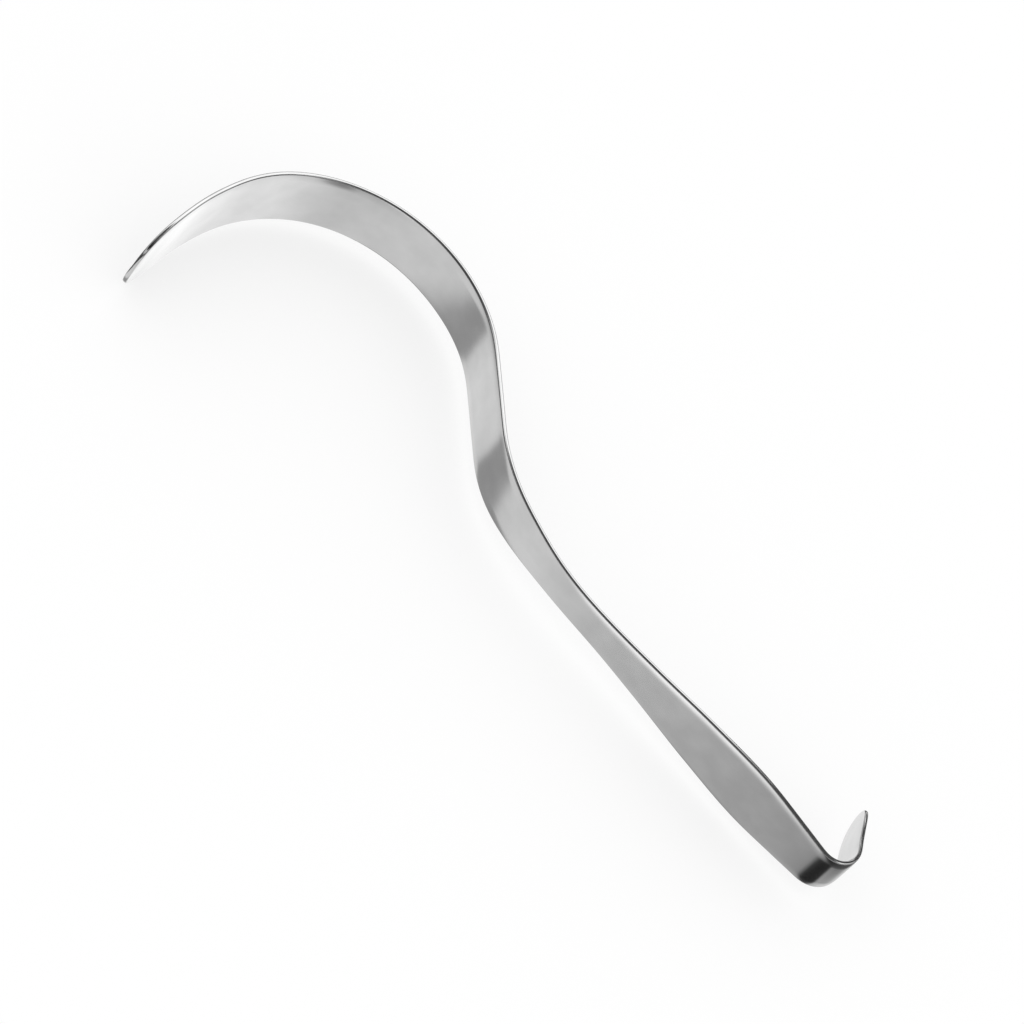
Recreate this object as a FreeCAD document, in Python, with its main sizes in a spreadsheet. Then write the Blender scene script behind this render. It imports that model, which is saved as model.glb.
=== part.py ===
import FreeCAD, Part

import math
import os

import Sketcher
from FreeCAD import Placement, Rotation, Vector

# Handheld surgical retractor: one strip of stainless steel, bent flat-wise.
# The strip lies on its long edge. Its side view is in the XY plane, the straight
# of the handle runs along X, and the width of the strip stands along Z.

# name, value, what it sets. Lengths in mm, angles in degrees.
SIZES = [
    ("thickness", "1.4", "thickness of the strip"),
    ("edge_bevel", "0.4", "bevel that breaks the edges of the strip"),
    ("blade_width", "27.6", "widest place of the blade, near its tip"),
    # Side view, from the tip of the blade to the tip of the handle hook
    ("tip_radius", "121.3", "bend of the first, nearly straight stretch"),
    ("tip_turn", "16.8", "turn of that stretch"),
    ("blade_radius", "45.8", "bend of the blade"),
    ("blade_turn", "98.2", "turn of the blade"),
    ("throat_radius", "40.8", "bend between blade and shank"),
    ("throat_turn", "25.2", "turn between blade and shank"),
    ("shank_length", "21.8", "straight shank"),
    ("neck_radius", "45.2", "counter-bend into the handle"),
    ("neck_turn", "27.1", "turn of the counter-bend"),
    ("heel_radius", "117.3", "slack bend at the start of the handle"),
    ("heel_turn", "15.5", "turn of that slack bend"),
    ("handle_length", "84.2", "straight of the handle"),
    ("hook_radius", "6.8", "tight bend of the hook"),
    ("hook_turn", "123.7", "turn of the hook"),
    ("lip_radius", "49.7", "slight flare of the hook's lip"),
    ("lip_turn", "17.2", "turn of the flare"),
    # Blade seen square to its width: places along the outline, and widths there
    ("blade_start", "6.5", "widest place, from the tip"),
    ("blade_shoulder", "3", "shoulder, from the widest place"),
    ("blade_fall", "7.5", "foot of the shoulder, from the widest place"),
    ("blade_fall_width", "24.8", "width at the foot of the shoulder"),
    ("blade_upper", "17.5", "upper blade, from the widest place"),
    ("blade_upper_width", "22.9", "width of the upper blade"),
    ("blade_crown", "37.5", "crown of the bend, from the widest place"),
    ("blade_crown_width", "20.4", "width at the crown"),
    ("blade_rear", "29", "rear of the blade, back from the waist"),
    ("blade_rear_width", "19.5", "width at the rear of the blade"),
    ("blade_flat", "6", "even width at the end of the blade"),
    ("blade_end", "3", "end of the blade's outline, past the throat"),
    ("waist_width", "18.3", "width at the waist"),
    # Handle seen square to its width
    ("handle_start", "13.1", "start of the handle's outline, past the throat"),
    ("handle_flat", "5", "even width at that start"),
    ("neck_upper", "15", "upper neck, from the start"),
    ("neck_upper_width", "17.3", "width of the upper neck"),
    ("neck_middle", "26", "middle of the neck, from the start"),
    ("neck_middle_width", "14.4", "width at the middle of the neck"),
    ("neck_lower", "40", "lower neck, from the start"),
    ("neck_lower_width", "11.8", "width of the lower neck"),
    ("grip_front", "59.5", "front of the grip, back from the widest place"),
    ("grip_front_width", "11.5", "width at the front of the grip"),
    ("grip_middle", "39.5", "middle of the grip, back from the widest place"),
    ("grip_middle_width", "14.8", "width at the middle of the grip"),
    ("grip_rear", "19.5", "rear of the grip, back from the widest place"),
    ("grip_rear_width", "18.9", "width at the rear of the grip"),
    ("grip_flat", "7", "even width at the widest place of the grip"),
    ("grip_end", "21", "widest place of the grip, back from the hook"),
    ("grip_width", "20.3", "widest place of the grip"),
    # Hook seen square to its width
    ("hook_start", "8.3", "start of the hook's outline, back from the bend"),
    ("hook_flat", "2", "even width at that start"),
    ("hook_fall", "5.5", "narrowing ahead of the bend, from the start"),
    ("hook_fall_width", "16.6", "width where it narrows"),
    ("hook_bend", "6.5", "hook's bend, back from the end of the outline"),
    ("hook_bend_width", "13.7", "width at the bend"),
    ("lip_flat", "2.5", "even width at the end of the hook's outline"),
    ("hook_end", "5.2", "end of the hook's outline, back from the lip"),
    ("lip_width", "12.1", "width at the start of the lip"),
    # Rounded ends
    ("blade_trim", "0.3", "trimmed off the blade's tip"),
    ("blade_tip_radius", "36", "blunt curve across the blade's tip"),
    ("blade_corner_radius", "9.5", "rounded corners of the blade's tip"),
    ("lip_trim", "0.4", "trimmed off the hook's tip"),
    ("lip_tip_radius", "3.8", "curve across the hook's tip"),
    ("lip_side_radius", "27.5", "curve along the sides of the hook's tip"),
    # Helpers of the cuts
    ("margin", "3", "how far the cuts reach past the strip"),
    ("overlap", "4.5", "how far the even stretch of an outline runs on"),
    ("hook_overlap", "8", "the same past the end of the hook's outline"),
]

document = FreeCAD.newDocument("surgical_retractor")
sheet = document.addObject("Spreadsheet::Sheet", "sizes")
for row, (name, value, note) in enumerate(SIZES, start=1):
    sheet.set("A%d" % row, note)
    sheet.set("B%d" % row, value)
    sheet.setAlias("B%d" % row, name)
document.recompute()

body = document.addObject("PartDesign::Body", "retractor")
body.Label = "retractor"


def origin_plane(role):
    for feature in body.Origin.OriginFeatures:
        if feature.Role == role:
            return feature
    raise ValueError("no plane " + role)


def new_sketch(name, role, offset=None):
    sketch = body.newObject("Sketcher::SketchObject", name)
    sketch.AttachmentSupport = [(origin_plane(role), "")]
    sketch.MapMode = "FlatFace"
    if offset is not None:
        sketch.AttachmentOffset = offset
    return sketch


def bind(sketch, constraint, name, expression):
    index = sketch.addConstraint(constraint)
    sketch.renameConstraint(index, name)
    sketch.setExpression("Constraints." + name, expression)


def heading_vector(degrees):
    angle = math.radians(degrees)
    return Vector(math.cos(angle), math.sin(angle), 0)


def left_of(direction):
    return Vector(-direction.y, direction.x, 0)


# Middle line of the strip, from the blade's tip to the hook's tip

# name, and +1 where the strip turns left, -1 right, 0 straight
MIDDLE_LINE = [
    ("tip", -1),
    ("blade", -1),
    ("throat", -1),
    ("shank", 0),
    ("neck", 1),
    ("heel", 1),
    ("handle", 0),
    ("hook", 1),
    ("lip", -1),
]

middle = new_sketch("middle_line", "XY_Plane")
heading = 0
for name, turning in MIDDLE_LINE[:6]:
    if turning:
        heading -= turning * sheet.get(name + "_turn")

point = Vector(0, 0, 0)
joints = {}
first_end = []
last_end = []
for name, turning in MIDDLE_LINE:
    joints[name] = point
    if turning == 0:
        target = point + heading_vector(heading) * sheet.get(name + "_length")
        middle.addGeometry(Part.LineSegment(point, target), False)
    else:
        radius = sheet.get(name + "_radius")
        turn = turning * sheet.get(name + "_turn")
        centre = point + left_of(heading_vector(heading)) * (turning * radius)
        half_way = centre - left_of(heading_vector(heading + turn / 2)) * (turning * radius)
        target = centre - left_of(heading_vector(heading + turn)) * (turning * radius)
        middle.addGeometry(Part.Arc(point, half_way, target), False)
        heading += turn
    first_end.append(2 if turning < 0 else 1)
    last_end.append(1 if turning < 0 else 2)
    point = target
strip_end = point

middle.addConstraint(Sketcher.Constraint("Coincident", 0, first_end[0], -1, 1))
for index, (name, turning) in enumerate(MIDDLE_LINE):
    if index:
        middle.addConstraint(
            Sketcher.Constraint("Tangent", index - 1, last_end[index - 1], index, first_end[index])
        )
    if turning == 0:
        length = Sketcher.Constraint("Distance", index, sheet.get(name + "_length"))
        bind(middle, length, name + "_length", "sizes.%s_length" % name)
    else:
        radius = Sketcher.Constraint("Radius", index, sheet.get(name + "_radius"))
        bind(middle, radius, name + "_radius", "sizes.%s_radius" % name)
        turn = Sketcher.Constraint("Angle", index, math.radians(sheet.get(name + "_turn")))
        bind(middle, turn, name + "_turn", "sizes.%s_turn * 1 deg" % name)
middle.addConstraint(Sketcher.Constraint("Horizontal", 6))
document.recompute()

# The strip at its full width: the middle line thickened, then raised both ways

outline = body.newObject("PartDesign::SubShapeBinder", "strip_outline")
outline.Support = [(middle, "")]
outline.OffsetJoinType = "Arcs"
outline.OffsetFill = False
outline.OffsetOpenResult = False
outline.MakeFace = True
outline.Relative = True
outline.setExpression("Offset", "sizes.thickness / 2")

strip = body.newObject("PartDesign::Pad", "strip")
strip.Profile = outline
strip.SideType = "Symmetric"
strip.setExpression("Length", "sizes.blade_width")
document.recompute()


def vertex_name(place):
    for number, vertex in enumerate(middle.Shape.Vertexes, start=1):
        if vertex.Point.distanceToPoint(place) < 0.01:
            return "Vertex%d" % number
    raise ValueError("no vertex there")


def cut(sketch, name, one_way=False):
    pocket = body.newObject("PartDesign::Pocket", name)
    pocket.Profile = sketch
    pocket.Type = "ThroughAll"
    if one_way:
        pocket.Reversed = True
    else:
        pocket.SideType = "Symmetric"
    document.recompute()
    return pocket


# Width along the strip. Each outline looks across the strip in one direction, so
# that its cut runs nearly square to the strip there. It trims both long edges and
# runs on at an even width past its ends, where it meets the next outline.


def trim_sides(name, look, near_end_of, near, far_end_of, far, runs):
    """near and far hold (label, place cell, width cell), counted from their ends."""
    near_joint, near_sign = near_end_of
    far_joint, far_sign = far_end_of
    near_run_cell, far_run_cell = runs
    turned = Placement(Vector(), Rotation(Vector(0, 1, 0), look))
    sketch = new_sketch(name, "XZ_Plane", turned)
    sketch.addExternal(middle.Name, vertex_name(near_joint))
    sketch.addExternal(middle.Name, vertex_name(far_joint))
    direction = heading_vector(look)
    near_end = near_joint.dot(direction) + near_sign * sheet.get(near[0][1])
    far_end = far_joint.dot(direction) + far_sign * sheet.get(far[-1][1])
    stations = [near_end]
    stations += [near_end + sheet.get(cell) for label, cell, width in near[1:]]
    stations += [far_end - sheet.get(cell) for label, cell, width in far[:-1]]
    stations += [far_end]
    places = near + far
    top = sheet.get("blade_width") / 2 + sheet.get("margin")
    near_run = sheet.get(near_run_cell) if near_run_cell else 0
    far_run = sheet.get(far_run_cell) if far_run_cell else 0
    for side, suffix in ((1, "_upper"), (-1, "_lower")):
        poles = []
        for station, (label, cell, width) in zip(stations, places):
            poles.append(Vector(station, side * sheet.get(width) / 2, 0))
        curve = Part.BSplineCurve()
        curve.buildFromPoles(poles, False, 3)
        spline = sketch.addGeometry(curve, False)
        sketch.exposeInternalGeometry(spline)
        first_pole = spline + 1
        last_pole = first_pole + len(poles) - 1

        # The rest of the loop, from the far end round to the near end
        corners = [poles[-1]]
        kinds = []
        if far_run:
            corners.append(Vector(far_end + far_run, poles[-1].y, 0))
            kinds.append("Horizontal")
        corners.append(Vector(far_end + far_run, side * top, 0))
        kinds.append("Vertical")
        corners.append(Vector(near_end - near_run, side * top, 0))
        kinds.append("Horizontal")
        ceiling = len(kinds) - 1
        if near_run:
            corners.append(Vector(near_end - near_run, poles[0].y, 0))
            kinds.append("Vertical")
        corners.append(poles[0])
        kinds.append("Horizontal" if near_run else "Vertical")
        frame = sketch.GeometryCount
        for start, end in zip(corners[:-1], corners[1:]):
            sketch.addGeometry(Part.LineSegment(start, end), False)
        closing = frame + len(kinds) - 1
        sketch.addConstraint(Sketcher.Constraint("Coincident", spline, 2, frame, 1))
        sketch.addConstraint(Sketcher.Constraint("Coincident", closing, 2, spline, 1))
        for index, kind in enumerate(kinds):
            line = frame + index
            sketch.addConstraint(Sketcher.Constraint(kind, line))
            if index:
                sketch.addConstraint(Sketcher.Constraint("Coincident", line - 1, 2, line, 1))
        if far_run:
            length = Sketcher.Constraint("Distance", frame, far_run)
            bind(sketch, length, "far_run" + suffix, "sizes." + far_run_cell)
        if near_run:
            length = Sketcher.Constraint("Distance", closing, near_run)
            bind(sketch, length, "near_run" + suffix, "sizes." + near_run_cell)

        # Heights count away from the axis on both sides
        axis = (-1, 1)
        ceiling_end = (frame + ceiling, 1)
        ends = (axis + ceiling_end) if side > 0 else (ceiling_end + axis)
        height = Sketcher.Constraint("DistanceY", *ends, top)
        bind(sketch, height, "top" + suffix, "sizes.blade_width / 2 + sizes.margin")
        for index, (label, cell, width) in enumerate(places):
            pole = (first_pole + index, 3)
            if index == 0:
                ends = ((-3, 1) + pole) if near_sign > 0 else (pole + (-3, 1))
            elif index < len(near):
                ends = (first_pole, 3) + pole
            elif index < len(places) - 1:
                ends = pole + (last_pole, 3)
            else:
                ends = ((-4, 1) + pole) if far_sign > 0 else (pole + (-4, 1))
            place = Sketcher.Constraint("DistanceX", *ends, sheet.get(cell))
            bind(sketch, place, label + "_place" + suffix, "sizes." + cell)
            ends = (axis + pole) if side > 0 else (pole + axis)
            height = Sketcher.Constraint("DistanceY", *ends, sheet.get(width) / 2)
            bind(sketch, height, label + "_half" + suffix, "sizes.%s / 2" % width)
    return sketch


# Directions in which the outlines count, from X, and a place amid the handle
BLADE_LOOK = 29
HANDLE_LOOK = 0
HOOK_LOOK = 62
HANDLE_MIDDLE = 150

blade_sides = trim_sides(
    "blade_sides",
    BLADE_LOOK,
    (joints["tip"], 1),
    [
        ("widest", "blade_start", "blade_width"),
        ("shoulder", "blade_shoulder", "blade_width"),
        ("fall", "blade_fall", "blade_fall_width"),
        ("upper", "blade_upper", "blade_upper_width"),
        ("crown", "blade_crown", "blade_crown_width"),
    ],
    (joints["shank"], 1),
    [
        ("rear", "blade_rear", "blade_rear_width"),
        ("flat", "blade_flat", "waist_width"),
        ("waist", "blade_end", "waist_width"),
    ],
    (None, "overlap"),
)
cut(blade_sides, "blade_cut")

handle_sides = trim_sides(
    "handle_sides",
    HANDLE_LOOK,
    (joints["shank"], 1),
    [
        ("waist", "handle_start", "waist_width"),
        ("flat", "handle_flat", "waist_width"),
        ("neck_upper", "neck_upper", "neck_upper_width"),
        ("neck_middle", "neck_middle", "neck_middle_width"),
        ("neck_lower", "neck_lower", "neck_lower_width"),
    ],
    (joints["hook"], -1),
    [
        ("grip_front", "grip_front", "grip_front_width"),
        ("grip_middle", "grip_middle", "grip_middle_width"),
        ("grip_rear", "grip_rear", "grip_rear_width"),
        ("grip_flat", "grip_flat", "grip_width"),
        ("grip_end", "grip_end", "grip_width"),
    ],
    ("overlap", "overlap"),
)
cut(handle_sides, "handle_cut")

hook_sides = trim_sides(
    "hook_sides",
    HOOK_LOOK,
    (joints["hook"], -1),
    [
        ("start", "hook_start", "grip_width"),
        ("flat", "hook_flat", "grip_width"),
        ("fall", "hook_fall", "hook_fall_width"),
    ],
    (joints["lip"], -1),
    [
        ("bend", "hook_bend", "hook_bend_width"),
        ("lip_flat", "lip_flat", "lip_width"),
        ("lip", "hook_end", "lip_width"),
    ],
    ("overlap", "hook_overlap"),
)
cut(hook_sides, "hook_cut")

# Rounded ends, seen along X: a curve across the tip between two tangent corners


def round_end(name, plane, facing, tip_joint, half_cell, trim, tip_radius, side_radius, run_on):
    """facing is -1 where the tip points to low Y, 1 where it points to high Y."""
    sketch = new_sketch(name, "YZ_Plane", plane)
    sketch.addExternal(middle.Name, vertex_name(tip_joint))
    half = sheet.get(half_cell) / 2
    tip_r = sheet.get(tip_radius)
    side_r = sheet.get(side_radius)
    apex = tip_joint.y - facing * sheet.get(trim)
    tip_centre = Vector(apex - facing * tip_r, 0, 0)
    between = tip_r - side_r
    lean = math.asin((half - side_r) / between)
    side_y = tip_centre.x + facing * between * math.cos(lean)
    meeting = lean if facing > 0 else math.pi - lean
    quarter = math.pi / 2

    # Curves run anti-clockwise: the tip's own, the upper corner, the lower corner
    if facing > 0:
        spans = [(-meeting, meeting), (meeting, quarter), (-quarter, -meeting)]
    else:
        low = 2 * math.pi - meeting
        spans = [(meeting, low), (quarter, meeting), (low, 2 * math.pi - quarter)]
    curves = [
        (tip_centre, tip_r),
        (Vector(side_y, half - side_r, 0), side_r),
        (Vector(side_y, side_r - half, 0), side_r),
    ]
    for (centre, radius), (start, end) in zip(curves, spans):
        circle = Part.Circle(centre, Vector(0, 0, 1), radius)
        sketch.addGeometry(Part.ArcOfCircle(circle, start, end), False)

    # The rest of the loop goes round the outside of the tip
    top = sheet.get("blade_width") / 2 + sheet.get("margin")
    far = apex + facing * sheet.get("margin")
    back = side_y
    if run_on:
        back -= facing * sheet.get("overlap")
    corners = [
        Vector(back, half, 0),
        Vector(back, top, 0),
        Vector(far, top, 0),
        Vector(far, -top, 0),
        Vector(back, -top, 0),
        Vector(back, -half, 0),
    ]
    kinds = ["Vertical", "Horizontal", "Vertical", "Horizontal", "Vertical"]
    if run_on:
        corners = [Vector(side_y, half, 0)] + corners + [Vector(side_y, -half, 0)]
        kinds = ["Horizontal"] + kinds + ["Horizontal"]
    frame = sketch.GeometryCount
    for start, end in zip(corners[:-1], corners[1:]):
        sketch.addGeometry(Part.LineSegment(start, end), False)
    last = sketch.GeometryCount - 1
    for index, kind in enumerate(kinds):
        sketch.addConstraint(Sketcher.Constraint(kind, frame + index))
        if index:
            sketch.addConstraint(
                Sketcher.Constraint("Coincident", frame + index - 1, 2, frame + index, 1)
            )
    ceiling = frame + (2 if run_on else 1)

    upper_side, upper_meet = (2, 1) if facing > 0 else (1, 2)
    lower_side, lower_meet = (1, 2) if facing > 0 else (2, 1)
    tip_upper, tip_lower = (2, 1) if facing > 0 else (1, 2)
    sketch.addConstraint(
        [
            Sketcher.Constraint("PointOnObject", 0, 3, -1),
            Sketcher.Constraint("Tangent", 1, upper_meet, 0, tip_upper),
            Sketcher.Constraint("Tangent", 2, lower_meet, 0, tip_lower),
            Sketcher.Constraint("Equal", 1, 2),
            Sketcher.Constraint("Coincident", 1, upper_side, frame, 1),
            Sketcher.Constraint("Coincident", 2, lower_side, last, 2),
            Sketcher.Constraint("Vertical", 1, 3, 1, upper_side),
            Sketcher.Constraint("Vertical", 2, 3, 2, lower_side),
            Sketcher.Constraint("Symmetric", ceiling, 1, ceiling + 2, 2, -1),
        ]
    )
    bind(sketch, Sketcher.Constraint("Radius", 0, tip_r), "tip", "sizes." + tip_radius)
    bind(sketch, Sketcher.Constraint("Radius", 1, side_r), "side", "sizes." + side_radius)
    ends = ((0, 3) + (-3, 1)) if facing > 0 else ((-3, 1) + (0, 3))
    reach = Sketcher.Constraint("DistanceX", *ends, tip_r + sheet.get(trim))
    bind(sketch, reach, "tip_centre", "sizes.%s + sizes.%s" % (tip_radius, trim))
    height = Sketcher.Constraint("DistanceY", -1, 1, 1, upper_side, half)
    bind(sketch, height, "half", "sizes.%s / 2" % half_cell)
    height = Sketcher.Constraint("DistanceY", -1, 1, ceiling, 1, top)
    bind(sketch, height, "top", "sizes.blade_width / 2 + sizes.margin")
    ends = ((0, 3) + (ceiling, 2)) if facing > 0 else ((ceiling, 2) + (0, 3))
    reach = Sketcher.Constraint("DistanceX", *ends, tip_r + sheet.get("margin"))
    bind(sketch, reach, "far", "sizes.%s + sizes.margin" % tip_radius)
    if run_on:
        length = Sketcher.Constraint("Distance", frame, sheet.get("overlap"))
        bind(sketch, length, "run_on", "sizes.overlap")
        sketch.addConstraint(Sketcher.Constraint("Equal", frame, last))
    document.recompute()
    return sketch


blade_end = round_end(
    "blade_end",
    Placement(),
    -1,
    joints["tip"],
    "blade_width",
    "blade_trim",
    "blade_tip_radius",
    "blade_corner_radius",
    False,
)
cut(blade_end, "blade_end_cut")

# The plane stands in the middle of the handle, and its cut runs on past the hook
lip_end = round_end(
    "lip_end",
    Placement(Vector(0, 0, HANDLE_MIDDLE), Rotation()),
    1,
    strip_end,
    "lip_width",
    "lip_trim",
    "lip_tip_radius",
    "lip_side_radius",
    True,
)
trimmed = cut(lip_end, "lip_end_cut", one_way=True)

# Every sharp edge of the strip is broken by a small bevel

SHARP_ANGLE = 40


def sharp_edges(shape):
    names = []
    for number, edge in enumerate(shape.Edges, start=1):
        faces = shape.ancestorsOfType(edge, Part.Face)
        if len(faces) != 2:
            continue
        place = edge.valueAt((edge.FirstParameter + edge.LastParameter) / 2)
        normals = [face.normalAt(*face.Surface.parameter(place)) for face in faces]
        if math.degrees(normals[0].getAngle(normals[1])) > SHARP_ANGLE:
            names.append("Edge%d" % number)
    return names


bevel = body.newObject("PartDesign::Chamfer", "edge_bevels")
bevel.Base = (trimmed, sharp_edges(trimmed.Shape))
bevel.setExpression("Size", "sizes.edge_bevel")
body.Tip = bevel
document.recompute()

# The strip lies on its edge: the middle of its outline at X = Y = 0, its foot at Z = 0
box = body.Shape.optimalBoundingBox()
body.Placement = Placement(
    Vector(-(box.XMin + box.XMax) / 2, -(box.YMin + box.YMax) / 2, -box.ZMin),
    Rotation(),
)
document.recompute()

for item in document.Objects:
    if {"Invalid", "Error"} & set(item.State):
        raise RuntimeError("%s did not build: %s" % (item.Name, item.State))
for item in body.Group:
    shape = getattr(item, "Shape", None)
    if shape is None or shape.isNull() or not shape.isValid():
        raise RuntimeError(item.Name + " has no sound shape")
if len(body.Shape.Solids) != 1:
    raise RuntimeError("the retractor is not one solid")

os.makedirs("parts", exist_ok=True)
body.Shape.exportStep("parts/%s.step" % body.Label)
final = body.Shape.optimalBoundingBox()
print("retractor", round(final.XLength, 2), round(final.YLength, 2), round(final.ZLength, 2))
print("volume in cubic mm", round(body.Shape.Volume, 1))
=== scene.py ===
import math

import bmesh
import bpy
import numpy as np
from mathutils import Matrix, Vector


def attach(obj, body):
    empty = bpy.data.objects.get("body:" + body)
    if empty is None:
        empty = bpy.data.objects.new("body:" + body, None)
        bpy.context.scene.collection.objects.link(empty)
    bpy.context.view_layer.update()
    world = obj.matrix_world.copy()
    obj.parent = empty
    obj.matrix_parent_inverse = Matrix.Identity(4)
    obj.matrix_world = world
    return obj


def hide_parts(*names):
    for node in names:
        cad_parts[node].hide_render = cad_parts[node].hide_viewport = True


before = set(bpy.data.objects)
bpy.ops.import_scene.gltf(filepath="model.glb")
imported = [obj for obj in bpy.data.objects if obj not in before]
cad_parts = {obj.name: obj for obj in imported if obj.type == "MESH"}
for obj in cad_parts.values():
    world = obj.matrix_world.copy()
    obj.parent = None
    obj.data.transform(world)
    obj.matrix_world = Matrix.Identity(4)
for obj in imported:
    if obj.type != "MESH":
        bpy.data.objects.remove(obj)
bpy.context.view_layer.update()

bl_info = {
    "name": "Surgical Retractor",
    "version": (1, 0, 0),
    "blender": (4, 5, 0),
    "location": "View3D > Sidebar > Retractor",
    "description": "Builds a handheld surgical retractor, bent from one steel strip",
    "category": "Add Mesh",
}

MM = 0.001


def linear(hex_colour):
    """An sRGB hex value as linear RGBA."""
    channels = []
    for start in (1, 3, 5):
        value = int(hex_colour[start:start + 2], 16) / 255
        if value <= 0.04045:
            channels.append(value / 12.92)
        else:
            channels.append(((value + 0.055) / 1.055) ** 2.4)
    return (*channels, 1.0)


# The strip's side view, from the tip of the blade to the tip of the hook:
# length of each stretch in mm, its turn in degrees (left is positive), and how far
# the bend eases in at its end, in mm.
STRETCHES = (
    ("tip", 8.3, -4.2, 4),
    ("fore", 8.2, 0.0, 8),
    ("front", 18.9, -11.8, 10),
    ("blade", 78.3, -97.7, 12),
    ("throat", 17.94, -25.2, 6),
    ("shank", 21.8, 0.0, 6),
    ("neck", 21.38, 27.1, 10),
    ("heel", 31.73, 15.5, 12),
    ("handle", 84.2, 0.0, 2),
    ("hook", 14.68, 123.7, 3),
    ("lip", 14.92, -17.2, 0),
)
# The handle's place in that list, counted from 0. It begins at this x and lies at this
# y in the frame, and the middle of the strip's width is this high, all in mm
HANDLE_START = 8
HANDLE_PLACE = (25.40, -3.92)
MIDDLE_HEIGHT = 13.8

# Width of the strip in mm at places along it, counted from the tip of the blade
WIDTHS = (
    (0, 27.6), (8, 27.6), (15, 27.5), (22, 26.5), (30.5, 24.9), (45.8, 23.18),
    (66.2, 20.8), (86.5, 19.77), (106.9, 19.24), (127.2, 18.35), (147.6, 18.3),
    (162.8, 17.8), (178.1, 15.3), (193.4, 12.3), (211.2, 11.93), (229, 14.45),
    (249.4, 18.65), (269.7, 20.4), (282.4, 17.6), (290.1, 15.6), (300.3, 13.4),
    (320.7, 12.6),
)

# How square the rounded ends are: 2 is an ellipse
BLADE_END_POWER = 2.7
LIP_END_POWER = 2.2
# Rings of the mesh along the edge, by how far inside it they lie, in mm
RING_DEPTHS = (0.03, 0.08, 0.15, 0.24, 0.35, 0.48, 0.62, 0.9, 1.3, 1.8, 2.4, 3.0)
# The faces fall away a little towards the edges, this wide and this deep, in mm
ROLL_WIDTH = 3.0
ROLL_DROP = 0.19
# On the blade the lower edge is hardly rolled: places along the strip in mm, the share
# of the fall there, and the width in mm over which the lower half takes that share
LOWER_ROLL = ((110, 140), (0.1, 1.0))
LOWER_BLEND = 4.0
# The rim keeps at least twice this thickness, in mm
RIM_HALF = 0.06

# Step of the centre line in mm, and points along each rounded end and along the sides
LINE_STEP = 0.05
END_POINTS = 400
SIDE_POINTS = 2000
# Points closer to the strip's middle than this, in m, lie on it
ON_MIDDLE = 1e-7
# Share of the large faces in the shading of their corners, out of 100
FACE_WEIGHT = 90

# The steel. Its grinding lines are a few hundredths of a millimetre wide, too fine to
# show, so they are drawn as coarse as this: width, length and depth in mm
BRUSH_WIDTH = 0.4
BRUSH_LENGTH = 14.0
BRUSH_DEPTH = 0.01
BRUSH_STRENGTH = 0.12
# Clouds left by the buffing: size in mm, part of the noise that is used, roughness
CLOUD_SIZE = 18.0
CLOUD_NOISE = (0.3, 0.7)
CLOUD_ROUGHNESS = (0.13, 0.17)
# Faint smudges: size in mm, part of the noise that is used, brightness
SMUDGE_SIZE = 9.0
SMUDGE_NOISE = (0.35, 0.65)
SMUDGE_LEVELS = (0.95, 1.03)

# The floor: half its side and the size of its grain in mm, its roughness, the grey that
# takes the light and the shadow, and the glow that lifts it to white for the camera
FLOOR_HALF = 3000
FLOOR_GRAIN = 10 / 9
FLOOR_ROUGHNESS = (0.9, 1.0)
FLOOR_GREY = "#959595"
FLOOR_GLOW = 0.70


class RetractorSizes(bpy.types.PropertyGroup):
    thickness: bpy.props.FloatProperty(
        name="Thickness", description="Thickness of the strip",
        default=1.38 * MM, unit="LENGTH")
    edge_round: bpy.props.FloatProperty(
        name="Edge rounding", description="Rounding along the edges of the strip",
        default=0.45 * MM, unit="LENGTH")
    blade_end: bpy.props.FloatProperty(
        name="Blade end", description="Length of the blade's rounded tip",
        default=14.5 * MM, unit="LENGTH")
    lip_end: bpy.props.FloatProperty(
        name="Lip end", description="Length of the hook's rounded tip",
        default=12.5 * MM, unit="LENGTH")
    row_step: bpy.props.FloatProperty(
        name="Row step", description="Spacing of the mesh along the strip",
        default=0.8 * MM, unit="LENGTH")
    steel_colour: bpy.props.FloatVectorProperty(
        name="Steel", description="Colour of the stainless steel",
        size=4, subtype="COLOR", default=linear("#DDDDDD"), min=0, max=1)
    floor_colour: bpy.props.FloatVectorProperty(
        name="Floor", description="Colour of the floor",
        size=4, subtype="COLOR", default=linear("#FFFFFF"), min=0, max=1)


# Shape of the strip


def strip_length():
    """Length of the blank in mm."""
    return sum(stretch[1] for stretch in STRETCHES)


def centre_line():
    """Places, headings and stations along the strip, in mm, at a fine even step."""
    step = LINE_STEP
    stations = np.arange(0.0, strip_length() + step / 2, step)
    curvature = np.zeros_like(stations)
    start = 0.0
    ease = 0.0
    for _, length, turn, next_ease in STRETCHES:
        if ease:
            share = np.clip((stations - start + ease / 2) / ease, 0, 1)
        else:
            share = (stations >= start).astype(float)
        curvature = curvature * (1 - share) + math.radians(turn) / length * share
        start += length
        ease = next_ease
    middle = (curvature[1:] + curvature[:-1]) / 2
    heading = np.concatenate([[0.0], np.cumsum(middle) * step])
    handle_at = sum(stretch[1] for stretch in STRETCHES[:HANDLE_START])
    straight = handle_at + STRETCHES[HANDLE_START][1] / 2
    heading -= np.interp(straight, stations, heading)
    halfway = (heading[1:] + heading[:-1]) / 2
    x = np.concatenate([[0.0], np.cumsum(np.cos(halfway)) * step])
    y = np.concatenate([[0.0], np.cumsum(np.sin(halfway)) * step])
    x += HANDLE_PLACE[0] - np.interp(handle_at, stations, x)
    y += HANDLE_PLACE[1] - np.interp(straight, stations, y)
    return stations, x, y, heading


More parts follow.
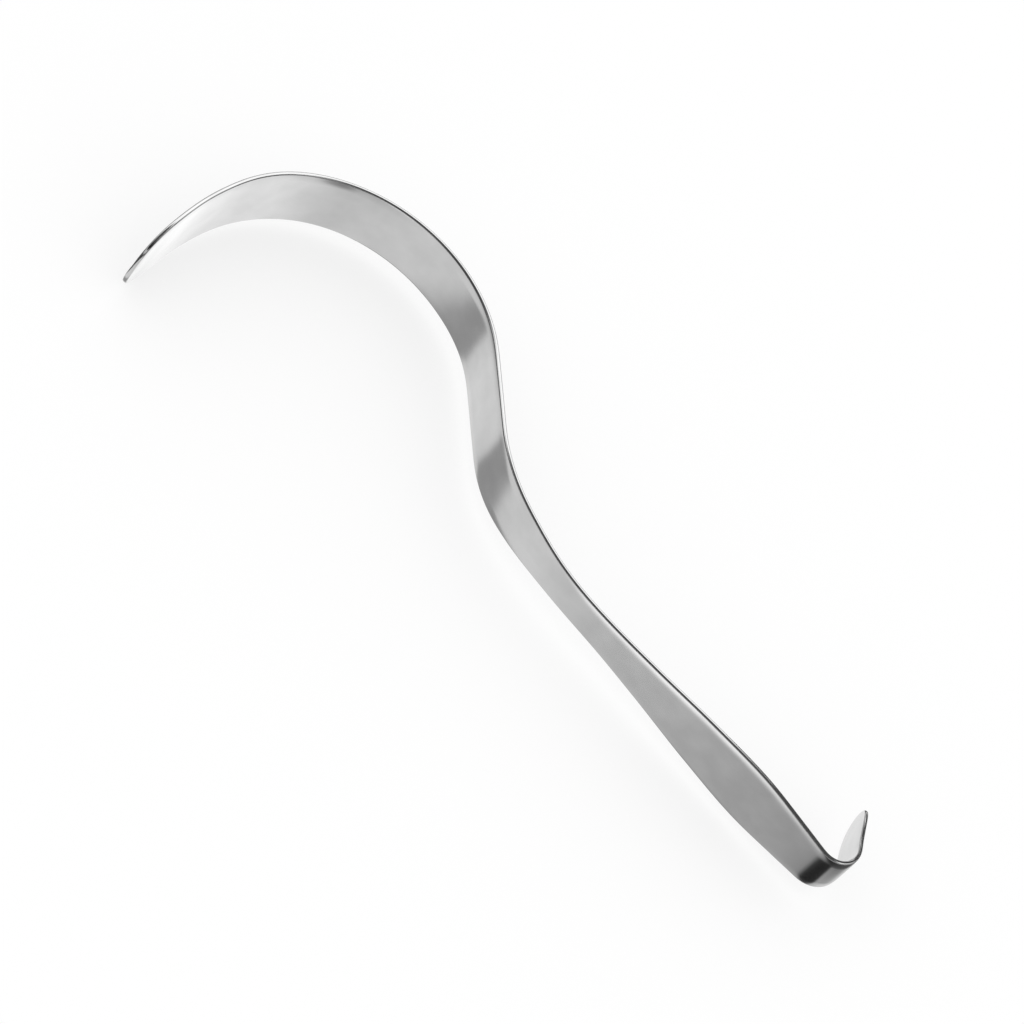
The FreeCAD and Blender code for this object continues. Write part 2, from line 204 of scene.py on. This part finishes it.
def half_width(stations):
    """Half the strip's width in mm, on a smooth curve through the given places."""
    places = np.array([place for place, width in WIDTHS], float)
    widths = np.array([width for place, width in WIDTHS], float)
    slopes = np.gradient(widths, places)
    index = np.searchsorted(places, stations, side="right") - 1
    index = np.clip(index, 0, len(places) - 2)
    span = places[index + 1] - places[index]
    t = (stations - places[index]) / span
    width = (
        widths[index] * (1 + 2 * t) * (1 - t) ** 2
        + slopes[index] * span * t * (1 - t) ** 2
        + widths[index + 1] * t ** 2 * (3 - 2 * t)
        + slopes[index + 1] * span * t ** 2 * (t - 1)
    )
    return width / 2


def outline(sizes):
    """The upper half of the blank's outline, in mm, from tip to tip at an even step."""
    length = strip_length()
    blade_end = sizes.blade_end / MM
    lip_end = sizes.lip_end / MM
    quarter = np.linspace(0, math.pi / 2, END_POINTS)
    out = 1 - np.cos(quarter) ** (2 / BLADE_END_POWER)
    front = blade_end * out
    front_width = np.sin(quarter) ** (2 / BLADE_END_POWER) * half_width(front)
    out = 1 - np.cos(quarter[::-1]) ** (2 / LIP_END_POWER)
    back = length - lip_end * out
    back_width = np.sin(quarter[::-1]) ** (2 / LIP_END_POWER) * half_width(back)
    middle = np.linspace(blade_end, length - lip_end, SIDE_POINTS)[1:-1]
    station = np.concatenate([front, middle, back])
    width = np.concatenate([front_width, half_width(middle), back_width])
    steps = np.hypot(np.diff(station), np.diff(width))
    run = np.concatenate([[0.0], np.cumsum(steps)])
    even = np.linspace(0, run[-1], round(run[-1] / (sizes.row_step / MM)))
    station = np.interp(even, run, station)
    width = np.interp(even, run, width)
    width[0] = width[-1] = 0
    return station, width


def edge_drop(depth, flat, sizes):
    """How far the face has fallen away, at a depth in from the outline, all in mm."""
    radius = sizes.edge_round / MM
    inside = np.clip(radius - depth, 0, radius)
    rounding = radius - np.sqrt(radius ** 2 - inside ** 2)
    rolled = np.clip(1 - depth / ROLL_WIDTH, 0, 1)
    lower = np.clip(-flat[:, 1] / LOWER_BLEND, 0, 1)
    share = 1 - lower * (1 - np.interp(flat[:, 0], *LOWER_ROLL))
    return rounding + ROLL_DROP * share * rolled ** 2


def strip_blank(sizes):
    """The flat blank: an outline with rings along its edge, thickened and rounded."""
    station, width = outline(sizes)
    edge = np.concatenate([
        np.stack([station, width], axis=1),
        np.stack([station, -width], axis=1)[-2:0:-1]])
    mesh = bmesh.new()
    bmesh.ops.create_circle(mesh, cap_ends=True, segments=len(edge), radius=1)
    layer = mesh.loops.layers.uv.new("strip")
    mesh.verts.ensure_lookup_table()
    for vertex, (along, across) in zip(mesh.verts, edge):
        vertex.co = (along * MM, across * MM, 0)
    mesh.normal_update()
    face = mesh.faces[:][0]
    reached = 0.0
    for depth in RING_DEPTHS:
        bmesh.ops.inset_region(
            mesh, faces=[face], thickness=(depth - reached) * MM,
            use_even_offset=True, use_boundary=True)
        reached = depth
    inner = sorted(face.verts, key=lambda vertex: vertex.co.x)
    upper = [vertex for vertex in inner if vertex.co.y > ON_MIDDLE]
    lower = [vertex for vertex in inner if vertex.co.y < -ON_MIDDLE]
    for pair in zip(upper, lower):
        bmesh.ops.connect_verts(mesh, verts=pair)
    bmesh.ops.recalc_face_normals(mesh, faces=mesh.faces)
    bmesh.ops.solidify(mesh, geom=mesh.faces[:], thickness=sizes.thickness)
    heights = [vertex.co.z for vertex in mesh.verts]
    bmesh.ops.translate(
        mesh, verts=mesh.verts, vec=(0, 0, -(max(heights) + min(heights)) / 2))
    flat = np.array([vertex.co for vertex in mesh.verts]) / MM
    depth = outline_distance(flat[:, :2], edge)
    half = sizes.thickness / 2
    for vertex, fall in zip(mesh.verts, edge_drop(depth, flat, sizes)):
        height = max(half - fall * MM, RIM_HALF * MM)
        vertex.co.z = height if vertex.co.z > 0 else -height
    for face in mesh.faces:
        for corner in face.loops:
            corner[layer].uv = (corner.vert.co.x, corner.vert.co.y)
    return mesh


def outline_distance(points, edge):
    """Distance in mm from each point to the closed outline."""
    along = np.roll(edge, -1, axis=0) - edge
    length_squared = (along ** 2).sum(axis=1)
    # In blocks of points, to save memory
    block = 1000
    nearest = np.empty(len(points))
    for first in range(0, len(points), block):
        offset = points[first:first + block, None, :] - edge[None, :, :]
        share = np.clip((offset * along).sum(axis=2) / length_squared, 0, 1)
        gap = offset - share[:, :, None] * along
        nearest[first:first + block] = np.sqrt((gap ** 2).sum(axis=2).min(axis=1))
    return nearest


def bend(mesh):
    """Bends the flat blank along the strip's side view, as a press does."""
    stations, x, y, heading = centre_line()
    flat = np.array([vertex.co for vertex in mesh.verts]) / MM
    turn = np.interp(flat[:, 0], stations, heading)
    place_x = np.interp(flat[:, 0], stations, x) + flat[:, 2] * np.sin(turn)
    place_y = np.interp(flat[:, 0], stations, y) - flat[:, 2] * np.cos(turn)
    height = flat[:, 1] + MIDDLE_HEIGHT
    placed = np.stack([place_x, place_y, height], axis=1) * MM
    for vertex, place in zip(mesh.verts, placed):
        vertex.co = place
    bmesh.ops.recalc_face_normals(mesh, faces=mesh.faces)


# Materials


def add_node(tree, kind, settings=None, inputs=None):
    """Adds a node, sets its properties, and sets or links its inputs."""
    node = tree.nodes.new(kind)
    for key, value in (settings or {}).items():
        setattr(node, key, value)
    for key, value in (inputs or {}).items():
        if isinstance(value, bpy.types.NodeSocket):
            tree.links.new(value, node.inputs[key])
        else:
            node.inputs[key].default_value = value
    return node


def new_material(name):
    """A material with nothing in it but its output."""
    material = bpy.data.materials.new(name)
    material.use_nodes = True
    tree = material.node_tree
    tree.nodes.clear()
    output = tree.nodes.new("ShaderNodeOutputMaterial")
    return material, tree, output


def satin_stainless_steel(sizes):
    # Stainless steel, ground lengthwise and buffed to a satin gloss. It gives the eye
    # soft, slightly streaked reflections with a faint cloudiness, and no colour.
    material, tree, output = new_material("satin_stainless_steel")
    uv = add_node(tree, "ShaderNodeUVMap", {"uv_map": "strip"})
    brush_map = add_node(tree, "ShaderNodeMapping", inputs={
        "Vector": uv.outputs["UV"],
        "Scale": (1 / (BRUSH_LENGTH * MM), 1 / (BRUSH_WIDTH * MM), 1)})
    brush = add_node(tree, "ShaderNodeTexNoise", inputs={
        "Vector": brush_map.outputs["Vector"], "Scale": 1.0, "Detail": 3.0})
    cloud = add_node(tree, "ShaderNodeTexNoise", inputs={
        "Vector": uv.outputs["UV"], "Scale": 1 / (CLOUD_SIZE * MM), "Detail": 2.0})
    roughness = add_node(tree, "ShaderNodeMapRange", inputs={
        "Value": cloud.outputs["Fac"],
        "From Min": CLOUD_NOISE[0], "From Max": CLOUD_NOISE[1],
        "To Min": CLOUD_ROUGHNESS[0], "To Max": CLOUD_ROUGHNESS[1]})
    smudge = add_node(tree, "ShaderNodeTexNoise", inputs={
        "Vector": uv.outputs["UV"], "Scale": 1 / (SMUDGE_SIZE * MM), "Detail": 2.0})
    dulled = add_node(tree, "ShaderNodeMapRange", inputs={
        "Value": smudge.outputs["Fac"],
        "From Min": SMUDGE_NOISE[0], "From Max": SMUDGE_NOISE[1],
        "To Min": SMUDGE_LEVELS[0], "To Max": SMUDGE_LEVELS[1]})
    colour = add_node(tree, "ShaderNodeVectorMath", {"operation": "SCALE"}, {
        0: sizes.steel_colour[:3], "Scale": dulled.outputs["Result"]})
    streaks = add_node(tree, "ShaderNodeBump", inputs={
        "Strength": BRUSH_STRENGTH, "Distance": BRUSH_DEPTH * MM,
        "Height": brush.outputs["Fac"]})
    shader = add_node(tree, "ShaderNodeBsdfPrincipled", inputs={
        "Base Color": colour.outputs["Vector"], "Metallic": 1.0,
        "Roughness": roughness.outputs["Result"], "Normal": streaks.outputs["Normal"]})
    tree.links.new(shader.outputs["BSDF"], output.inputs["Surface"])
    return material


def white_card_floor(sizes):
    # Matt white card. It gives a plain white ground with a soft pale shadow: the card
    # glows for the camera alone, so that the light on the steel stays low.
    material, tree, output = new_material("white_card_floor")
    path = add_node(tree, "ShaderNodeLightPath")
    glow = add_node(tree, "ShaderNodeMath", {"operation": "MULTIPLY"}, {
        0: path.outputs["Is Camera Ray"], 1: FLOOR_GLOW})
    coordinates = add_node(tree, "ShaderNodeTexCoord")
    grain = add_node(tree, "ShaderNodeTexNoise", inputs={
        "Vector": coordinates.outputs["Object"], "Scale": 1 / (FLOOR_GRAIN * MM)})
    rough = add_node(tree, "ShaderNodeMapRange", inputs={
        "Value": grain.outputs["Fac"],
        "To Min": FLOOR_ROUGHNESS[0], "To Max": FLOOR_ROUGHNESS[1]})
    shader = add_node(tree, "ShaderNodeBsdfPrincipled", inputs={
        "Base Color": linear(FLOOR_GREY), "Specular IOR Level": 0.0,
        "Roughness": rough.outputs["Result"], "Emission Color": sizes.floor_colour,
        "Emission Strength": glow.outputs["Value"]})
    tree.links.new(shader.outputs["BSDF"], output.inputs["Surface"])
    return material


# Studio

# The camera: angles in degrees, lengths in mm
CAMERA_ELEVATION = 50.35
CAMERA_AZIMUTH = 6.9
CAMERA_ROLL = 42.5
CAMERA_DISTANCE = 1399.5
CAMERA_LENS = 193.36
CAMERA_SENSOR = 36
CAMERA_REACH = (50, 20000)
AIM = (-7.29, 1.04, 13.8)


def camera_side():
    """The direction from the object towards the camera."""
    azimuth = math.radians(CAMERA_AZIMUTH)
    elevation = math.radians(CAMERA_ELEVATION)
    return Vector((
        math.sin(azimuth) * math.cos(elevation),
        -math.cos(azimuth) * math.cos(elevation),
        math.sin(elevation)))


def studio_camera():
    """A long lens from above, turned so that the handle runs down to the right."""
    back = camera_side()
    right = Vector((0, 0, 1)).cross(back).normalized()
    up = back.cross(right)
    roll = Matrix.Rotation(math.radians(CAMERA_ROLL), 3, back)
    right = roll @ right
    up = roll @ up
    data = bpy.data.cameras.new("camera")
    data.lens = CAMERA_LENS
    data.sensor_width = CAMERA_SENSOR
    data.clip_start = CAMERA_REACH[0] * MM
    data.clip_end = CAMERA_REACH[1] * MM
    camera = bpy.data.objects.new("camera", data)
    bpy.context.collection.objects.link(camera)
    turn = Matrix((right, up, back)).transposed().to_4x4()
    place = Vector(AIM) * MM + back * (CAMERA_DISTANCE * MM)
    camera.matrix_world = Matrix.Translation(place) @ turn
    bpy.context.scene.camera = camera


# The panel under the floor that only the steel sees, painted with the light and shade
# that its faces reflect: its height in the frame and half its side in mm, and its
# level.
# Soft oval patches of painted highlight and shade on it: x and y in mm, turn in
# degrees, half length and half width in mm, the inner share that is even, and how much
# of the level the patch leaves
PANEL_HEIGHT = -131.2
PANEL_HALF = 2000
PANEL_LEVEL = 0.78
PANEL_PATCHES = (
    ("window", -121, 150, 56, 153, 109, 0.0, 2.06),
    ("crown", 12, 102, 84, 110, 92, 0.48, 1.22),
    ("screen", -106, -32, 178, 94, 46, 0.70, 0.44),
    ("shade", 12, -45, 10, 30, 71, 0.12, 0.92),
    ("corner", 184, -124, 5, 235, 150, 0.08, 0.32),
    ("hollow", 68, -42, -60, 52, 38, 0.30, 0.40),
    ("strip", 52, -190, 0, 92, 46, 0.30, 2.15),
    ("hook", 176, -89, 35, 84, 46, 0.62, 0.06),
    ("tip", -152, 88, -20, 30, 22, 0.30, 0.42),
)
# The panel darkens between these two distances from its middle, in mm, to this share,
# and further out, for the back of the strip, it grows bright again in the same way
PANEL_MIDDLE = (10, -20)
PANEL_EDGE = (205, 240, 0.10)
PANEL_FAR = (400, 540, 0.75)
# Dark sheets that only the steel's reflections see paint shade into the hook's rounded
# edge around its back, and two do so at the blade's tip: place in mm, the way each
# faces, and half its two sides in mm
FLAGS = (
    ((164, 147, 60), (0, -1, 0), (106, 58)),
    ((164, 104, 151), (0, -0.63, -0.77), (100, 52)),
    ((158, 10, 186), (0, 0, -1), (100, 55)),
    ((86, 27, 46), (0.45, -0.63, -0.63), (16, 16)),
    ((-78, -12, 20), (-0.9, -0.42, 0), (18, 12)),
    ((-78, -38, 20), (-1, 0, 0), (12, 26)),
)
# Level of the nearly black glow that paints shade into the steel's reflections
DARK_REFLECTION_LEVEL = 0.07
# The painted room that only the steel's reflections see, a painted reflection of light
# and shade: its level overhead, and low down behind the object and in front of it, with
# the way to the front, where along it one turns into the other, and the heights between
# which the walls brighten
ROOM_LEVEL = 1.35
ROOM_BACK = 0.45
ROOM_FRONT = 0.06
ROOM_FRONT_WAY = (0.6, -0.8, 0)
ROOM_TURN = (-0.4, 0.3)
ROOM_RISE = (0.1, 0.6)
# Around the camera the room is dark: cosines of the angles from it, and the level there
CAMERA_DARK = (0.42, 0.75)
CAMERA_DARK_LEVEL = 0.06


def painted_reflection_panel():
    # Painted reflection: soft bright and dark patches of painted light and shade, which
    # the mirror-like faces alone pick up. It glows and reflects nothing.
    material, tree, output = new_material("painted_reflection_panel")
    place = add_node(tree, "ShaderNodeTexCoord").outputs["Object"]
    level = PANEL_LEVEL
    for name, x, y, turn, length, width, inner, strength in PANEL_PATCHES:
        own = add_node(tree, "ShaderNodeMapping", {"vector_type": "TEXTURE"}, {
            "Vector": place, "Location": (x * MM, y * MM, 0),
            "Rotation": (0, 0, math.radians(turn)),
            "Scale": (length * MM, width * MM, 1)})
        distance = add_node(tree, "ShaderNodeVectorMath", {"operation": "LENGTH"}, {
            0: own.outputs["Vector"]})
        # The corner fades evenly across the panel, and the other patches have soft rims
        kind = "LINEAR" if name == "corner" else "SMOOTHSTEP"
        patch = add_node(tree, "ShaderNodeMapRange", {"interpolation_type": kind}, {
            "Value": distance.outputs["Value"], "From Min": inner, "From Max": 1.0,
            "To Min": strength, "To Max": 1.0})
        patch.label = name
        product = add_node(tree, "ShaderNodeMath", {"operation": "MULTIPLY"}, {
            0: level, 1: patch.outputs["Result"]})
        level = product.outputs["Value"]
    middle = (PANEL_MIDDLE[0] * MM, PANEL_MIDDLE[1] * MM, 0)
    from_middle = add_node(tree, "ShaderNodeVectorMath", {"operation": "DISTANCE"}, {
        0: place, 1: middle})
    start, end, edge_level = PANEL_EDGE
    far_start, far_end, far_level = PANEL_FAR
    far = add_node(tree, "ShaderNodeMapRange", {"interpolation_type": "SMOOTHSTEP"}, {
        "Value": from_middle.outputs["Value"], "From Min": far_start * MM,
        "From Max": far_end * MM, "To Min": edge_level, "To Max": far_level})
    edge = add_node(tree, "ShaderNodeMapRange", {"interpolation_type": "SMOOTHSTEP"}, {
        "Value": from_middle.outputs["Value"], "From Min": start * MM,
        "From Max": end * MM, "To Min": 1.0, "To Max": far.outputs["Result"]})
    level = add_node(tree, "ShaderNodeMath", {"operation": "MULTIPLY"}, {
        0: level, 1: edge.outputs["Result"]}).outputs["Value"]
    # The panel's glow is the painted light and shade that the steel reflects
    glow = add_node(tree, "ShaderNodeEmission", inputs={
        "Color": linear("#FFFFFF"), "Strength": level})
    tree.links.new(glow.outputs["Emission"], output.inputs["Surface"])
    return material


def painted_dark_reflection():
    # Painted shade: a dark glow that only the steel's reflections see, an even, nearly
    # black reflection.
    material, tree, output = new_material("painted_dark_reflection")
    dark_glow = add_node(tree, "ShaderNodeEmission", inputs={
        "Color": linear("#FFFFFF"), "Strength": DARK_REFLECTION_LEVEL})
    tree.links.new(dark_glow.outputs["Emission"], output.inputs["Surface"])
    return material


def reflected_card(name, size, place, facing, material):
    """A card that only the steel's mirror-like faces see."""
    shape = bmesh.new()
    bmesh.ops.create_grid(shape, x_segments=1, y_segments=1, size=MM)
    bmesh.ops.scale(shape, verts=shape.verts, vec=(*size, 1))
    mesh = bpy.data.meshes.new(name)
    shape.to_mesh(mesh)
    shape.free()
    card = bpy.data.objects.new(name, mesh)
    bpy.context.collection.objects.link(card)
    card.location = Vector(place) * MM
    turn = Vector((0, 0, 1)).rotation_difference(Vector(facing))
    card.rotation_euler = turn.to_euler()
    mesh.materials.append(material)
    card.visible_camera = False
    card.visible_diffuse = False
    card.visible_shadow = False


def studio_world():
    """Even white light, which the steel sees as a painted room with dark and bright
    parts.
    """
    world = bpy.data.worlds.new("studio")
    bpy.context.scene.world = world
    world.use_nodes = True
    tree = world.node_tree
    tree.nodes.clear()
    output = tree.nodes.new("ShaderNodeOutputWorld")
    direction = add_node(tree, "ShaderNodeTexCoord").outputs["Generated"]
    parts = add_node(tree, "ShaderNodeSeparateXYZ", inputs={"Vector": direction})
    frontward = add_node(tree, "ShaderNodeVectorMath", {"operation": "DOT_PRODUCT"}, {
        0: direction, 1: ROOM_FRONT_WAY})
    soft = {"interpolation_type": "SMOOTHSTEP"}
    horizon = add_node(tree, "ShaderNodeMapRange", soft, {
        "Value": frontward.outputs["Value"],
        "From Min": ROOM_TURN[0], "From Max": ROOM_TURN[1],
        "To Min": ROOM_BACK, "To Max": ROOM_FRONT})
    room = add_node(tree, "ShaderNodeMapRange", soft, {
        "Value": parts.outputs["Z"],
        "From Min": ROOM_RISE[0], "From Max": ROOM_RISE[1],
        "To Min": horizon.outputs["Result"], "To Max": ROOM_LEVEL})
    towards = add_node(tree, "ShaderNodeVectorMath", {"operation": "DOT_PRODUCT"}, {
        0: direction, 1: camera_side()})
    dark = add_node(tree, "ShaderNodeMapRange", soft, {
        "Value": towards.outputs["Value"],
        "From Min": CAMERA_DARK[0], "From Max": CAMERA_DARK[1],
        "To Min": 1.0, "To Max": CAMERA_DARK_LEVEL})
    mirrored = add_node(tree, "ShaderNodeMath", {"operation": "MULTIPLY"}, {
        0: room.outputs["Result"], 1: dark.outputs["Result"]})
    # Only glossy rays see the painted room of light and shade; all other rays see even
    # white
    path = add_node(tree, "ShaderNodeLightPath")
    level = add_node(tree, "ShaderNodeMix", {"data_type": "FLOAT"}, {
        "Factor": path.outputs["Is Glossy Ray"],
        "A": 1.0, "B": mirrored.outputs["Value"]})
    background = add_node(tree, "ShaderNodeBackground", inputs={
        "Color": linear("#FFFFFF"), "Strength": level.outputs["Result"]})
    tree.links.new(background.outputs["Background"], output.inputs["Surface"])


class RETRACTOR_OT_strip(bpy.types.Operator):
    """Cuts, rounds and bends the steel strip"""
    bl_idname = "retractor.strip"
    bl_label = "Retractor strip"

    def execute(self, context):
        sizes = context.scene.retractor
        shape = strip_blank(sizes)
        bend(shape)
        mesh = bpy.data.meshes.new("retractor_strip")
        shape.to_mesh(mesh)
        shape.free()
        strip = bpy.data.objects.new("retractor_strip", mesh)
        context.collection.objects.link(strip)
        mesh.shade_smooth()
        weigh = strip.modifiers.new("faces", "WEIGHTED_NORMAL")
        weigh.weight = FACE_WEIGHT
        mesh.materials.append(satin_stainless_steel(sizes))
        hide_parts("retractor")
        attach(strip, "root")
        return {"FINISHED"}


class RETRACTOR_OT_stage(bpy.types.Operator):
    """Lays the white floor, lights the studio and sets up the camera"""
    bl_idname = "retractor.stage"
    bl_label = "Studio"

    def execute(self, context):
        sizes = context.scene.retractor
        card = bmesh.new()
        bmesh.ops.create_grid(
            card, x_segments=1, y_segments=1, size=FLOOR_HALF * MM)
        mesh = bpy.data.meshes.new("floor")
        card.to_mesh(mesh)
        card.free()
        floor = bpy.data.objects.new("floor", mesh)
        context.collection.objects.link(floor)
        mesh.materials.append(white_card_floor(sizes))
        floor.visible_glossy = False
        reflected_card(
            "panel", (PANEL_HALF, PANEL_HALF), (0, 0, PANEL_HEIGHT), (0, 0, 1),
            painted_reflection_panel())
        # Dark sheets, seen only in reflections, paint shade on the hook's edge and the
        # blade's tip
        dark_sheet = painted_dark_reflection()
        for place, facing, size in FLAGS:
            reflected_card("flag", size, place, facing, dark_sheet)
        studio_world()
        studio_camera()
        context.scene.view_settings.view_transform = "Standard"
        return {"FINISHED"}


class RETRACTOR_PT_panel(bpy.types.Panel):
    """Sizes and steps of the retractor"""
    bl_label = "Surgical retractor"
    bl_idname = "RETRACTOR_PT_panel"
    bl_space_type = "VIEW_3D"
    bl_region_type = "UI"
    bl_category = "Retractor"

    def draw(self, context):
        sizes = context.scene.retractor
        for name in RetractorSizes.__annotations__:
            self.layout.prop(sizes, name)
        self.layout.operator(RETRACTOR_OT_strip.bl_idname)
        self.layout.operator(RETRACTOR_OT_stage.bl_idname)


CLASSES = (RetractorSizes, RETRACTOR_OT_strip, RETRACTOR_OT_stage, RETRACTOR_PT_panel)


def register():
    for cls in CLASSES:
        bpy.utils.register_class(cls)
    bpy.types.Scene.retractor = bpy.props.PointerProperty(type=RetractorSizes)


def unregister():
    del bpy.types.Scene.retractor
    for cls in reversed(CLASSES):
        bpy.utils.unregister_class(cls)


def main():
    register()
    bpy.ops.retractor.strip()
    bpy.ops.retractor.stage()
    bpy.context.view_layer.update()


if __name__ == "__main__":
    main()
